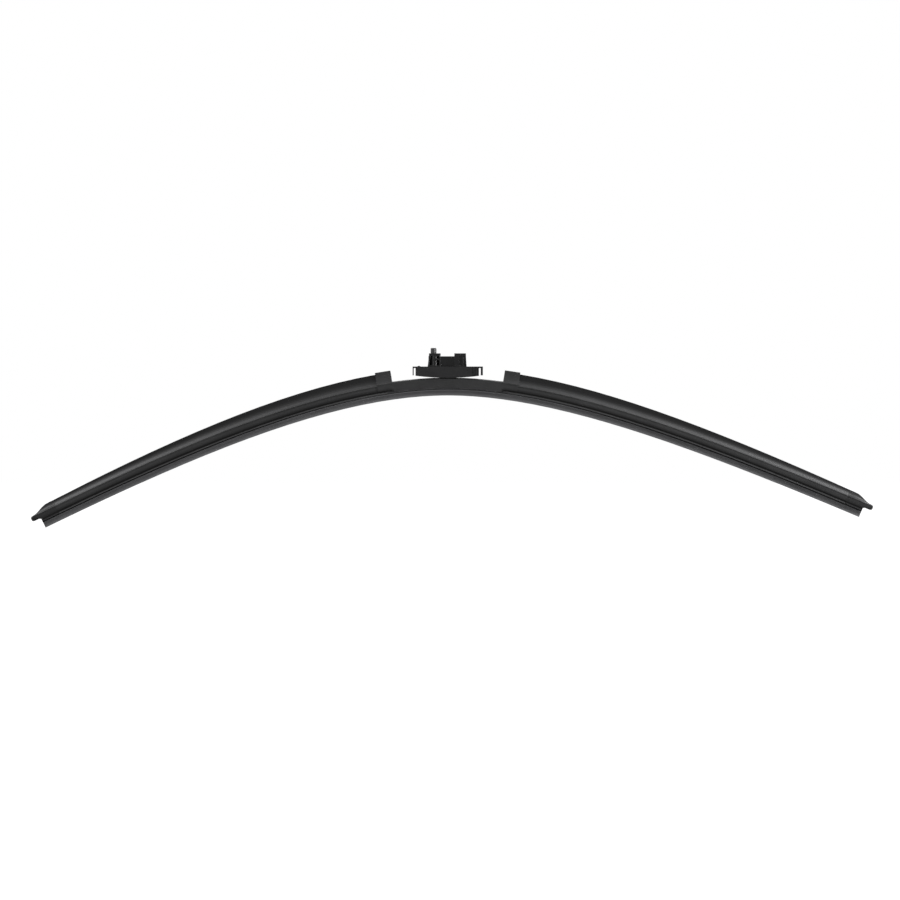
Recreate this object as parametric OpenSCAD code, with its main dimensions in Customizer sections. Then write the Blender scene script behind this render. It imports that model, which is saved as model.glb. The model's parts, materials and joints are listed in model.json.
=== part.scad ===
// A flat wiper blade with an aerofoil spoiler and a push-button arm adaptor, in millimetres.
// X runs along the blade, +Z points away from the glass, and the hollow side of the spoiler faces -Y.
// The origin is where the wiper arm sits, on top of the adaptor, above the pivot.
// Heights named here are counted from the wiping edge, outwards from the glass.

/* [Arch of the blade] */
// Length of the wiping rubber, measured along its edge
blade_l = 650; // [520:5:700]
// Distance that the right arm is longer than half of it, and the left arm shorter
off_centre = 1.8; // [0:0.2:4]
// Slope that the left arm would reach far beyond its end, in degrees
slope_left = 27.8; // [14:0.2:30]
// Slope that the right arm would reach far beyond its end, in degrees
slope_right = 24; // [14:0.2:30]
// Distance from the middle over which the left arm's bend fades
fade_left_l = 120; // [90:1:180]
// Distance from the middle over which the right arm's bend fades
fade_right_l = 108; // [90:1:180]

/* [Wiping rubber] */
// Thickness of the wiping edge
lip_edge_t = 0.7; // [0.5:0.1:1]
// Thickness of the lip where it meets its shoulders
lip_root_t = 1.3; // [1:0.1:1.8]
// Height of the lip below its shoulders
lip_h = 3.6; // [3.2:0.1:4]
// Width over the shoulders that stop the lip
shoulder_w = 4; // [3:0.1:5]
// Thickness of the shoulders
shoulder_t = 0.9; // [0.7:0.1:1.2]
// Thickness of the neck that lets the lip tilt
neck_t = 0.8; // [0.6:0.1:1.2]
// Height of the neck
neck_h = 0.6; // [0.5:0.1:1]
// Width of the flange under the rails
flange_w = 6.4; // [5.6:0.1:6.6]
// Thickness of that flange
flange_t = 0.9; // [0.7:0.1:1.1]
// Thickness of the web between the rails
web_t = 1.7; // [1.2:0.1:2.2]
// Width of the head above the rails
head_w = 6; // [5:0.1:6.4]
// Thickness of the head
head_t = 1.3; // [1:0.1:1.5]

/* [Spring rails] */
// Width of each rail
rail_w = 3.3; // [3:0.1:3.6]
// Thickness of each rail
rail_t = 0.9; // [0.7:0.05:1.1]
// Distance from the end of the rubber to the end of a rail
rail_back = 1.6; // [1:0.1:3]
// Length of the notch that an end cap locks into
notch_l = 3; // [2:0.1:4]
// Depth of that notch
notch_d = 0.8; // [0.5:0.1:1]

/* [Spoiler] */
// Width over the skirts of the spoiler
skirt_w = 11.4; // [11:0.1:12.4]
// Height of the skirts' lower edge above the top of the rails
skirt_rise = 0.5; // [0.3:0.1:0.8]
// Height of the skirts
skirt_h = 3.9; // [3.4:0.1:4.2]
// Distance that the flare's edge stands out over the front skirt
flare_out = 0.6; // [0.3:0.1:0.9]
// Thickness of the flare's edge
flare_t = 0.4; // [0.3:0.1:0.6]
// Height of the crest beside the centre cover
crest_in = 20.7; // [18:0.1:23]
// Height of the crest at the end caps
crest_end = 16.4; // [14.4:0.1:17]
// Power of the crest's fall along the blade
crest_fall = 1.55; // [1:0.05:2]
// Distance of the crest behind the middle of the blade
crest_back = 1.8; // [0:0.1:2.6]
// Thickness of the crest
crest_t = 1.3; // [1:0.1:1.8]
// Bulge of the rear face
rear_bulge_h = 0.7; // [0.2:0.1:1.1]
// Thickness of the claws that hold the rails
claw_t = 0.5; // [0.4:0.05:0.6]
// Thickness of the claws' lips under the rails
claw_lip_t = 0.7; // [0.5:0.05:0.8]
// Distance that the bead along the claws stands out
bead_out = 0.6; // [0.3:0.1:0.7]
// Height of that bead
bead_h = 1.1; // [0.8:0.1:1.3]

/* [End caps] */
// Length of a cap over the rubber
cap_l = 14; // [11:0.5:18]
// Length of the nose past the end of the rubber
nose_l = 6.9; // [5:0.1:9]
// Height of the nose's top
nose_top = 12.3; // [11.8:0.1:12.8]
// Height of the nose's underside
nose_arch = 8.2; // [7.9:0.1:8.6]
// Width of the nose at its tip
nose_w = 5.6; // [4:0.1:7]
// Distance from the end of the rubber to where the cap's crest starts to fall
cap_fall_l = 9; // [6:0.5:10]

/* [Centre cover] */
// Length of the cover along the blade
cover_l = 103.6; // [98:0.2:112]
// Height of the cover's top
cover_top = 13.6; // [13.2:0.1:13.8]
// Fall of the cover's top towards its sides
cover_crown = 0.9; // [0.5:0.1:1.2]
// Wall of the cover
cover_wall = 0.8; // [0.7:0.05:0.9]
// Length of a hood
hood_l = 11.2; // [10:0.2:13]
// Height of a hood's top above the spoiler's crest
hood_rise = 1.4; // [1.1:0.1:2]
// Length of spoiler inside a hood
hood_grip = 7; // [5:0.5:8]
// Height of the side walls' lower edge, below the skirt between the hoods
apron_z = 5.6; // [5.5:0.1:6.4]

/* [Holder bracket] */
// Distance from each end of the bracket's plate to the hood's inner edge
bracket_back = 3; // [2:0.5:5]
// Thickness of the bracket's sheet
bracket_t = 1; // [0.8:0.05:1.1]
// Length of one claw of the bracket
bracket_claw_l = 8; // [5:0.5:10]
// Thickness of the sheet where it is folded under the rails
bracket_lip_t = 0.5; // [0.4:0.05:0.6]
// Distance between the inner faces of the ears
ear_gap = 4.8; // [3.6:0.1:5]
// Thickness of an ear
ear_t = 1.2; // [1:0.1:1.5]
// Radius of the metal round the pin
ear_r = 3.7; // [3.2:0.1:3.7]
// Length of the ears' foot
ear_foot = 18; // [14:0.5:24]

/* [Pivot] */
// Height of the pivot
pivot_h = 17.4; // [17.2:0.1:17.6]
// Radius of the pin
pin_r = 2.2; // [1.8:0.05:2.4]
// Chamfer on the pin's ends
pin_chamfer = 0.4; // [0.2:0.1:0.6]
// Depth of a cheek's seat for the pin
seat_d = 1.3; // [1:0.1:1.4]
// Width of the groove that leads the pin into its seat
lead_w = 3.5; // [2.8:0.1:3.5]
// Depth of that groove
lead_d = 0.8; // [0.5:0.1:0.9]

/* [Adaptor cradle] */
// Length of the cradle from bar to bar
cradle_l = 53.2; // [50:0.2:58]
// Height of the cradle's top
cradle_top = 21.9; // [21.7:0.1:22.4]
// Height of the cheeks' lower edge in the middle
belly_h = 13.4; // [13.2:0.1:13.9]
// Height of the cheeks' lower edge at the ends
brow_h = 15.3; // [14.8:0.1:16]
// Thickness of a cheek
cheek_t = 1.8; // [1.6:0.1:2.2]
// Thickness of the deck
deck_t = 1.8; // [1.6:0.1:1.9]
// Depth of the walls that close the ends under the top
end_wall_h = 3.4; // [2.6:0.1:3.8]
// Thickness of those walls
end_wall_t = 1.2; // [0.9:0.1:1.5]
// Width of the slot beside each end bar
bar_slot = 1.4; // [1:0.1:1.8]
// Thickness of the left end bar
bar_left_t = 0.8; // [0.6:0.1:1.2]
// Thickness of the right end bar
bar_right_t = 1.6; // [1.2:0.1:2]
// Thickness of the bridges from the deck to the bars
bridge_t = 1.1; // [0.8:0.1:1.4]
// Width of one grip groove
grip_w = 0.7; // [0.5:0.1:0.9]
// Distance from one grip groove to the next
grip_step = 1.7; // [1.4:0.1:2]
// Number of grip grooves in each cheek
grip_n = 3; // [0:1:4]
// Depth of the grip grooves
grip_d = 0.5; // [0.2:0.1:0.6]
// Height of the thumb bump on the deck
bump_h = 0.5; // [0.3:0.1:0.9]
// Length of that bump
bump_l = 2.6; // [2:0.1:3.4]
// Length of the bump's flat top
bump_flat = 1; // [0.6:0.1:1.4]
// Height of an end bar's crosspiece
bar_h = 2.6; // [1.6:0.1:3]

/* [Arm connector] */
// Height of the connector over the deck
connector_h = 10; // [9.4:0.1:11]
// Width of the connector
connector_w = 11.2; // [10.6:0.1:11.8]
// Distance from the pivot to the left block's outer foot
left_foot = 15.2; // [14.9:0.1:15.8]
// Length of the left block at its foot
left_l = 9.8; // [9.4:0.1:10.2]
// Distance from the pivot to the right block's outer foot
right_foot = 14.3; // [14:0.1:15]
// Length of the right block at its foot
right_l = 9.3; // [8.8:0.1:9.6]
// Slope of the left block's outer wall, from foot to top
left_lean = 1; // [0.4:0.1:1.2]
// Slope of the right block's outer wall, from foot to top
right_lean = 0.5; // [0:0.1:1]
// Thickness of the blocks' top plates
plate_t = 1.9; // [1.5:0.1:2.2]
// Thickness of the blocks' outer walls
block_wall = 1.2; // [0.9:0.1:1.4]
// Thickness of the blocks' feet
foot_t = 0.8; // [0.6:0.1:1.2]
// Thickness of the middle wall
middle_t = 2.6; // [2:0.1:3.2]
// Height that the middle wall stays below the top plates
middle_drop = 2.2; // [1.9:0.1:3]
// Thickness of the ribs inside the blocks
rib_t = 1; // [0.8:0.1:1.2]
// Depth of the recess in the right block's upper half
recess_d = 2; // [1:0.1:2.6]
// Length of the buttress under the right top plate
buttress_l = 3.7; // [3:0.1:4]
// Height of the deep pockets in the blocks
pocket_h = 5; // [4:0.1:6]
// Length of a snap hook
hook_l = 3; // [2.4:0.1:3.4]
// Thickness of a snap hook
hook_t = 1.2; // [1:0.1:1.3]
// Distance that a hook's nose reaches under the deck
hook_nose = 0.6; // [0.4:0.1:0.7]
// Height of a hook's nose
hook_nose_h = 0.6; // [0.5:0.1:0.8]

/* [Lock button] */
// Radius of the button's post
post_r = 2.25; // [2:0.05:2.3]
// Height of the post above the top plate
post_h = 4.1; // [3.4:0.1:4.8]
// Depth of the step where the post goes down into the top plate
post_step = 0.25; // [0.2:0.05:0.4]
// Distance from the pivot to the post's axis
post_x = 10.75; // [10.6:0.05:10.9]
// Chamfer on the post's top
post_chamfer = 0.4; // [0.2:0.1:0.7]
// Distance that the collar stands out from the post
collar_out = 0.5; // [0.4:0.05:0.6]
// Thickness of the collar
collar_t = 1.2; // [0.9:0.1:1.5]
// Radius of the stem inside the spring
stem_r = 1.5; // [1.2:0.1:1.6]
// Length of the stem under the collar
stem_l = 2.9; // [2:0.1:3.3]
// Wall round the button's well
well_wall = 1; // [0.8:0.1:1.1]
// Radius of the spring's wire
wire_r = 0.22; // [0.15:0.01:0.25]
// Number of turns of the spring
spring_turns = 6; // [4:1:7]

/* [Clearances] */
// Gap between mouldings that slide over one another
slip_gap = 0.1; // [0.06:0.02:0.16]
// Radial gap of the pin in its bores
pin_gap = 0.05; // [0.02:0.01:0.09]
// Gap between the cradle's cheeks and the cover
swing_gap = 0.3; // [0.2:0.05:0.5]
// Gap round the collar in its well
well_gap = 0.15; // [0.1:0.05:0.3]
// Gap round the ears where they pass through the cover
opening_gap = 0.4; // [0.3:0.05:0.6]
// Gap between a spoiler and its end cap
seam_gap = 0.05; // [0.04:0.02:0.2]

/* [Fineness] */
// Number of sections from the middle of the blade to its end
ring_n = 22; // [16:1:28]
// Number of points along the flare's curve
flare_n = 8; // [5:1:9]
// Facets of a full circle
circle_n = 48; // [32:4:64]
// Number of sections in each stretch of an end cap
cap_n = 4; // [3:1:6]

/* [Hidden] */
// Overshoot of what cuts, and overlap of what is joined
cut = 0.5;
// Heights of the rubber's and the rails' faces, and the share of a rubber flange that is bevelled
bevel = 0.25;
half_l = blade_l / 2;
function arm(side) = half_l + side * off_centre;
neck_z = lip_h + shoulder_t;
flange_z = neck_z + neck_h;
rail_z = flange_z + flange_t;
rail_top = rail_z + rail_t;
head_z = rail_top + slip_gap;
head_top = head_z + head_t;
rail_in = web_t / 2 + slip_gap / 2;
rail_out = rail_in + rail_w;
// The claws' channel round the rails and the head
channel_out = rail_out + slip_gap;
channel_mouth = flange_w / 2 + 2 * slip_gap;
channel_bottom = rail_z - slip_gap / 2;
channel_head = head_w / 2 + slip_gap;
channel_top = head_top + slip_gap;
claw_out = channel_out + claw_t;
claw_z = channel_bottom - claw_lip_t;
bead_y = claw_out + bead_out;
bead_top = claw_z + bead_h;
// The spoiler's outline
skirt_y = skirt_w / 2;
skirt_z = rail_top + skirt_rise;
flare_z = skirt_z + skirt_h;
crest_edge = crest_t / 4;
rear_n = 4;
spoiler_in = cover_l / 2 - hood_grip;
function spoiler_out(side) = arm(side) - cap_l;
// The tip's share of the nose's width and height
tip_width = 0.7;
tip_height = 0.35;
// The cover's outline
cover_y = skirt_y + slip_gap + cover_wall;
hood_off = slip_gap + cover_wall;
vault_y = skirt_y + slip_gap;
hood_in = cover_l / 2 - hood_l;
sleeve_in = spoiler_in - slip_gap;
draft = 0.3;
crown_power = 4;
vault_roof = 1.5 * cover_wall;
apron_in = vault_y + cover_wall / 8;
apron_out = cover_y - cover_wall / 4;
// The bracket inside the cover
bracket_half = hood_in - bracket_back;
plate_z = channel_top + slip_gap;
plate_top = plate_z + bracket_t;
bracket_leg = claw_out + slip_gap;
ear_out = ear_gap / 2 + ear_t;
vault_z = plate_top + slip_gap;
ear_room = ear_foot / 2 + opening_gap;
// The cradle over the cover
cheek_in = cover_y + swing_gap;
cheek_out = cheek_in + cheek_t;
cradle_left = -cradle_l / 2;
cradle_right = cradle_l / 2;
body_left = cradle_left + bar_left_t + bar_slot;
body_right = cradle_right - bar_right_t - bar_slot;
deck_z = cradle_top - deck_t;
seat_out = cheek_in + seat_d;
pin_half = seat_out - slip_gap;
pin_room = ear_r + opening_gap;
bump_x = body_left + bump_l;
// The connector on the cradle
seat_h = cradle_top + connector_h;
plate_under = seat_h - plate_t;
middle_top = seat_h - middle_drop;
block_y = connector_w / 2;
left_in = -left_foot + left_l;
right_in = right_foot - right_l;
well_r = post_r + collar_out + well_gap;
boss_r = well_r + well_wall;
hook_in = block_y - hook_t;
hook_left = -post_x;
hook_right = right_in + right_l / 2;
hook_bottom = deck_z - slip_gap / 2 - hook_nose_h;
slot_half = hook_l / 2 + slip_gap;
slot_in = hook_in - hook_nose - 2 * slip_gap;
slot_out = block_y + slip_gap;
grip_at = body_right - end_wall_t;
grip_h = cradle_top - belly_h + cut;
// The spring under the button
collar_top = plate_under - slip_gap / 2;
collar_z = collar_top - collar_t;
spring_low = cradle_top + slip_gap / 2;
spring_high = collar_z - slip_gap / 2;
coil_r = (stem_r + well_r) / 2;
wire_sides = 6;
coil_steps = 12;

// Slope of the blade at a distance along its edge
function slope(s) = s < 0
    ? -slope_left * (1 - exp(s / fade_left_l))
    : slope_right * (1 - exp(-s / fade_right_l));

// The wiping edge, found by walking along it in short steps to one side
walk = 2.5;
walk_n = ceil((arm(1) + nose_l) / walk) + 1;
function step_slope(side, i) = slope(side * (i + 0.5) * walk);
function walk_x(side) = [for (i = 0, x = 0; i <= walk_n;
    x = x + side * walk * cos(step_slope(side, i)), i = i + 1) [i * walk, x]];
function walk_z(side) = [for (i = 0, z = 0; i <= walk_n;
    z = z - side * walk * sin(step_slope(side, i)), i = i + 1) [i * walk, z]];
left_x = walk_x(-1);
left_z = walk_z(-1);
right_x = walk_x(1);
right_z = walk_z(1);

// The point at a distance along the edge, at height h and depth y
function on_blade(s, y, h) = [
    lookup(abs(s), s < 0 ? left_x : right_x) + h * sin(slope(s)),
    y,
    lookup(abs(s), s < 0 ? left_z : right_z) + h * cos(slope(s))];

// Places of the sections: close together where the blade bends most
ring_growth = 1.4;
ring_least = 1;
function ring(i) = sign(i) * half_l * pow(abs(i) / ring_n, ring_growth);
function rings(a, b) = concat([a],
    [for (i = [-ring_n:ring_n]) if (ring(i) > a + ring_least && ring(i) < b - ring_least) ring(i)],
    [b]);

function mix(a, b, t) = a + (b - a) * t;
function reversed(list) = [for (i = [len(list) - 1:-1:0]) list[i]];
function mirrored(half) = [for (i = [len(half) - 1:-1:0]) [-half[i][0], half[i][1]]];

// The triangles that fill a flat outline: a free corner is cut off, until one triangle is left
tiny = 0.00001;
function turn(a, b, c) = (b[0] - a[0]) * (c[1] - a[1]) - (b[1] - a[1]) * (c[0] - a[0]);
function holds(a, b, c, p) = p != a && p != b && p != c
    && turn(a, b, p) > -tiny && turn(b, c, p) > -tiny && turn(c, a, p) > -tiny;
function is_free(outline, a, b, c) = turn(a, b, c) > tiny
    && len([for (p = outline) if (holds(a, b, c, p)) 1]) == 0;
function free_corner(outline, left, i = 0) =
    let (n = len(left), a = outline[left[(i + n - 1) % n]], b = outline[left[i]],
        c = outline[left[(i + 1) % n]])
    i == n - 1 || is_free([for (k = left) outline[k]], a, b, c) ? i : free_corner(outline, left, i + 1);
function fill(outline, left) = len(left) == 3 ? [left]
    : let (n = len(left), i = free_corner(outline, left))
    concat([[left[(i + n - 1) % n], left[i], left[(i + 1) % n]]],
        fill(outline, [for (k = [0:n - 1]) if (k != i) left[k]]));

// A closed outline of [y, h] points carried along the blade: one outline for each place
module sweep(places, outlines) {
    n = len(outlines[0]);
    last = (len(places) - 1) * n;
    points = [for (k = [0:len(places) - 1]) for (p = outlines[k]) on_blade(places[k], p[0], p[1])];
    sides = [for (k = [0:n:last - n]) for (j = [0:n - 1]) let (i = (j + 1) % n)
        each [[k + j, k + n + j, k + n + i], [k + j, k + n + i, k + i]]];
    corners = [for (j = [0:n - 1]) j];
    first_end = fill(outlines[0], corners);
    last_end = [for (t = fill(outlines[len(outlines) - 1], corners)) [for (i = [2:-1:0]) last + t[i]]];
    polyhedron(points, concat(sides, first_end, last_end), convexity = 8);
}

// A strip that follows the blade between two heights, as an outline in XZ
function strip(a, b, low, high) = concat(
    [for (s = rings(a, b)) [on_blade(s, 0, high)[0], on_blade(s, 0, high)[2]]],
    [for (s = rings(-b, -a)) [on_blade(-s, 0, low)[0], on_blade(-s, 0, low)[2]]]);

// An outline in XZ made solid from one depth to another
module slab(y_low, y_high) {
    translate([0, y_high, 0])
        rotate([90, 0, 0])
            linear_extrude(y_high - y_low)
                children();
}

// A block given by its lowest and highest corners
module block(low, high) {
    translate(low)
        cube(high - low);
}

// From heights above the wiping edge to the frame of the arm's seat
module at_seat() {
    translate([0, 0, -seat_h])
        children();
}

// The rubber's section, from the wiping edge up to the head
rubber_half = [
    [lip_edge_t / 2, 0],
    [lip_root_t / 2, lip_h],
    [shoulder_w / 2, lip_h + bevel * shoulder_t],
    [shoulder_w / 2, neck_z],
    [neck_t / 2, neck_z + bevel * neck_h],
    [neck_t / 2, flange_z - bevel * neck_h],
    [flange_w / 2, flange_z + bevel * flange_t],
    [flange_w / 2, rail_z],
    [web_t / 2, rail_z],
    [web_t / 2, head_z],
    [head_w / 2, head_z],
    [head_w / 2 - bevel * head_t, head_top]];

module wiping_rubber() {
    places = rings(-arm(-1), arm(1));
    section = concat(rubber_half, mirrored(rubber_half));
    color([0.16, 0.16, 0.165])
        at_seat()
            sweep(places, [for (s = places) section]);
}

// One sprung steel rail, notched at both ends for the caps
module spring_rail(y_low, y_high, edge_y) {
    difference() {
        slab(y_low, y_high)
            polygon(strip(rail_back - arm(-1), arm(1) - rail_back, rail_z, rail_top));
        for (side = [-1, 1])
            slab(edge_y - notch_d, edge_y + notch_d)
                polygon(notch_outline(side));
    }
}

// The notch near a rail's end
function notch_at(side) = side * (arm(side) - cap_l / 2);
function notch_outline(side) = strip(notch_at(side) - notch_l / 2, notch_at(side) + notch_l / 2,
    rail_z - cut, rail_top + cut);

module spring_rail_front() {
    color([0.2, 0.2, 0.21])
        at_seat()
            spring_rail(-rail_out, -rail_in, -rail_out);
}

module spring_rail_rear() {
    color([0.2, 0.2, 0.21])
        at_seat()
            spring_rail(rail_in, rail_out, rail_out);
}

// Height of the spoiler's crest along the blade
function crest(s) = crest_in - (crest_in - crest_end)
    * pow(min(1, max(0, (abs(s) - cover_l / 2) / (spoiler_out(sign(s)) - cover_l / 2))), crest_fall);

// The spoiler's upper outline from rear skirt to front edge, moved outwards by off
function tent_top(top, off) =
    let (rear = crest_back + crest_t / 2 + off, front = crest_back - crest_t / 2 - off,
        low = flare_z + flare_t + off, high = top + off, edge = skirt_y + flare_out + off)
    concat(
        [for (i = [1:rear_n - 1])
            [mix(skirt_y + off, rear, i / rear_n) + rear_bulge_h * sin(180 * i / rear_n),
                mix(flare_z, high - crest_edge, i / rear_n)]],
        [[rear, high - crest_edge], [rear - crest_edge, high], [front + crest_edge, high]],
        [for (i = [0:flare_n])
            [mix(-edge, front, cos(90 * i / flare_n)),
                mix(high - crest_edge, low, sin(90 * i / flare_n))]]);

// The whole outline: rear skirt, top and front skirt, with the flare's underside moved up by lift
function tent(top, off = 0, lift = 0) = concat(
    [[skirt_y + off, skirt_z], [skirt_y + off, flare_z]],
    tent_top(top, off),
    [[-skirt_y - flare_out - off, flare_z + lift], [-skirt_y - off, flare_z - flare_out / 2 + lift],
        [-skirt_y - off, skirt_z]]);

// The channel that holds the head and grips the rails: the rear half, from the claw's lip inwards
grip_half = [
    [channel_head, channel_top],
    [channel_head, head_z - slip_gap / 2],
    [channel_out, head_z - slip_gap / 2],
    [channel_out, channel_bottom],
    [channel_mouth, channel_bottom],
    [channel_mouth, claw_z],
    [claw_out, claw_z],
    [bead_y, claw_z + bevel * bead_h],
    [bead_y, bead_top - bevel * bead_h],
    [claw_out, bead_top],
    [claw_out, skirt_z]];
grip_channel = concat(mirrored(grip_half), grip_half);

module spoiler(a, b) {
    places = rings(a, b);
    sweep(places, [for (s = places) concat(grip_channel, tent(crest(s)))]);
}

module spoiler_left() {
    color([0.13, 0.13, 0.135])
        at_seat()
            spoiler(-spoiler_out(-1) + seam_gap, -spoiler_in);
}

module spoiler_right() {
    color([0.13, 0.13, 0.135])
        at_seat()
            spoiler(spoiler_in, spoiler_out(1) - seam_gap);
}

// The cap's places, counted outwards from the end of the rubber
nose_round = nose_l / 4;
nose_flat = nose_l - nose_round;
cap_places = concat(
    [for (i = [cap_n:-1:1]) -cap_l * i / cap_n],
    [for (i = [0:cap_n]) nose_flat * i / cap_n],
    [for (i = [1:cap_n]) nose_flat + nose_round * sin(90 * i / cap_n)]);
function nose_share(d) = max(0, d) / nose_l;
function tip_share(d) = sqrt(max(0, 1 - pow(max(0, d - nose_flat) / nose_round, 2)));
function cap_crest(d) =
    let (t = min(1, max(0, (d + cap_fall_l) / (cap_fall_l + nose_flat))))
    mix(crest_end, nose_top, (1 - cos(180 * t)) / 2);
function cap_low(d) = mix(skirt_z, nose_arch, min(1, max(0, d) * cap_n / nose_flat));
function cap_width(d) = mix(1, nose_w / skirt_w, pow(nose_share(d), 2)) * mix(tip_width, 1, tip_share(d));

// One section of the cap: the spoiler's outline, hollow below, closed in towards the nose's tip
cap_hollow = [
    [-channel_head, skirt_z],
    [-channel_head, channel_top],
    [channel_head, channel_top],
    [channel_head, skirt_z]];
function cap_section(d) =
    let (top = cap_crest(d), squeeze = (top - cap_low(d)) / (top - skirt_z),
        middle = (top + cap_low(d)) / 2, shrink = mix(tip_height, 1, tip_share(d)))
    [for (p = concat(cap_hollow, tent(top)))
        let (h = top - (top - p[1]) * squeeze)
        [p[0] * cap_width(d), middle + (h - middle) * shrink]];

// A hooked claw on each side of the blade, from low up to high, that reaches round the rail
module claws(a, b, out, low, high) {
    difference() {
        for (side = [-1, 1])
            slab(side > 0 ? channel_mouth : -out, side > 0 ? out : -channel_mouth)
                polygon(strip(a, b, low, high));
        slab(-channel_out, channel_out)
            polygon(strip(a - cut, b + cut, channel_bottom, high + cut));
    }
}

// Those claws with the bead that runs along them
module beaded_claws(a, b) {
    claws(a, b, claw_out, claw_z, skirt_z + cut);
    for (side = [-1, 1])
        slab(side > 0 ? claw_out - claw_t / 2 : -bead_y, side > 0 ? bead_y : -claw_out + claw_t / 2)
            polygon(strip(a + draft, b - draft, claw_z + bevel * bead_h / 2, bead_top - bevel * bead_h / 2));
}

// A cap: the nose and the claws in one moulding, with a tooth in each rail's notch
module end_cap(side) {
    ends = side > 0 ? cap_places : reversed(cap_places);
    grip_a = spoiler_out(side) + slip_gap;
    grip_b = arm(side) - rail_back / 2;
    tooth = notch_l / 2 - slip_gap;
    sweep([for (d = ends) side * (arm(side) + d)], [for (d = ends) cap_section(d)]);
    beaded_claws(side > 0 ? grip_a : -grip_b, side > 0 ? grip_b : -grip_a);
    for (y = [-1, 1])
        slab(y > 0 ? rail_out - notch_d + slip_gap : -channel_out - claw_t / 2,
            y > 0 ? channel_out + claw_t / 2 : -rail_out + notch_d - slip_gap)
            polygon(strip(notch_at(side) - tooth, notch_at(side) + tooth,
                channel_bottom - claw_t / 2, head_z - slip_gap));
}

module end_cap_left() {
    color([0.13, 0.13, 0.135])
        at_seat()
            end_cap(-1);
}

module end_cap_right() {
    color([0.13, 0.13, 0.135])
        at_seat()
            end_cap(1);
}

// The cover's low top between the hoods
function crown(y) = cover_top - cover_crown * pow(abs(y) / cover_y, crown_power);
flat_share = cover_y / (cover_y + flare_out);
cover_outline = concat(
    [[cover_y, skirt_z], [cover_y, flare_z]],
    [for (p = tent_top(crest_in, hood_off)) [p[0] * flat_share, crown(p[0] * flat_share)]],
    [[-cover_y, flare_z], [-cover_y, flare_z - flare_out / 2], [-cover_y, skirt_z]]);

// The same points as a vault over the bracket, and as a slot over the rubber's head
function vault(y) = mix(cover_top - vault_roof, vault_z, pow(abs(y) / vault_y, crown_power));
function under(wide, share, roof) = concat(
    [[wide, skirt_z], [wide, mix(skirt_z, roof, 2 / 3)]],
    [for (p = tent_top(crest_in, slip_gap)) [p[0] * share, roof]],
    [[-wide, mix(skirt_z, roof, 2 / 3)], [-wide, mix(skirt_z, roof, 1 / 3)], [-wide, skirt_z]]);
vault_share = vault_y / (vault_y + flare_out);
vault_inside = [for (p = under(vault_y, vault_share, vault_z))
    p[1] < vault_z ? p : [p[0], vault(p[0])]];
slot_inside = under(channel_head, channel_head / (vault_y + flare_out), channel_top);

// How far the outline has changed from one form to the next at a distance s
function change(s, at) = min(1, max(0, (abs(s) - at + draft) / draft));
function blend(from, to, t) = t == 0 ? from : t == 1 ? to
    : [for (i = [0:len(from) - 1]) mix(from[i], to[i], t)];
function cover_section(s) = concat(
    reversed(blend(blend(vault_inside, slot_inside, change(s, hood_in)),
        tent(crest_in, slip_gap, -slip_gap), change(s, sleeve_in))),
    blend(cover_outline, tent(crest_in + hood_rise - hood_off, hood_off, hood_off), change(s, hood_in)));

// The cover and its two hoods, one moulding that sleeves over the spoilers' ends
module centre_cover() {
    right = [hood_in - draft, hood_in, sleeve_in - draft, sleeve_in, cover_l / 2];
    middle = rings(-hood_in + draft, hood_in - draft);
    places = concat(reversed(-right), [for (i = [1:len(middle) - 2]) middle[i]], right);
    color([0.17, 0.17, 0.175])
        at_seat()
            difference() {
                union() {
                    sweep(places, [for (s = places) cover_section(s)]);
                    beaded_claws(hood_in + draft, sleeve_in - 2 * draft);
                    beaded_claws(-sleeve_in + 2 * draft, -hood_in - draft);
                    for (side = [-1, 1])
                        slab(side > 0 ? apron_in : -apron_out, side > 0 ? apron_out : -apron_in)
                            polygon(strip(-hood_in + 2 * draft, hood_in - 2 * draft, apron_z,
                                skirt_z + 2 * cut));
                }
                block([-ear_room, -ear_out - opening_gap, plate_top],
                    [ear_room, ear_out + opening_gap, cover_top + cut]);
            }
}

// An ear: round about the pin, with straight sides that leave the circle at a tangent
module ear_outline() {
    reach = pivot_h - plate_top + bracket_t / 2;
    far = sqrt(pow(ear_foot / 2, 2) + reach * reach);
    leave = acos(ear_r / far) - atan2(reach, ear_foot / 2);
    translate([0, pivot_h])
        difference() {
            union() {
                circle(r = ear_r, $fn = circle_n);
                polygon([
                    [-ear_foot / 2, -reach],
                    [ear_foot / 2, -reach],
                    [ear_r * cos(leave), ear_r * sin(leave)],
                    [-ear_r * cos(leave), ear_r * sin(leave)]]);
            }
            circle(r = pin_r + pin_gap, $fn = circle_n);
        }
}

// The bracket: a plate on the rubber's head, ears for the pin, and folded claws under the rails
module holder_bracket() {
    middle_claw = ear_foot / 2 + bracket_t;
    end_claw = bracket_half - bracket_t - bracket_claw_l;
    color([0.24, 0.24, 0.25])
        at_seat() {
            slab(-bracket_leg, bracket_leg)
                polygon(strip(-bracket_half, bracket_half, plate_z, plate_top));
            for (side = [-1, 1])
                slab(side > 0 ? ear_gap / 2 : -ear_out, side > 0 ? ear_out : -ear_gap / 2)
                    ear_outline();
            for (a = [-end_claw - bracket_claw_l, -middle_claw - bracket_claw_l, middle_claw, end_claw])
                claws(a, a + bracket_claw_l, bracket_leg, channel_bottom - bracket_lip_t,
                    plate_z + bracket_t / 2);
        }
}

module pivot_pin() {
    color([0.6, 0.6, 0.62])
        at_seat()
            translate([0, 0, pivot_h])
                rotate([90, 0, 0])
                    rotate_extrude($fn = circle_n)
                        polygon([
                            [0, -pin_half],
                            [pin_r - pin_chamfer, -pin_half],
                            [pin_r, -pin_half + pin_chamfer],
                            [pin_r, pin_half - pin_chamfer],
                            [pin_r - pin_chamfer, pin_half],
                            [0, pin_half]]);
}

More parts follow.
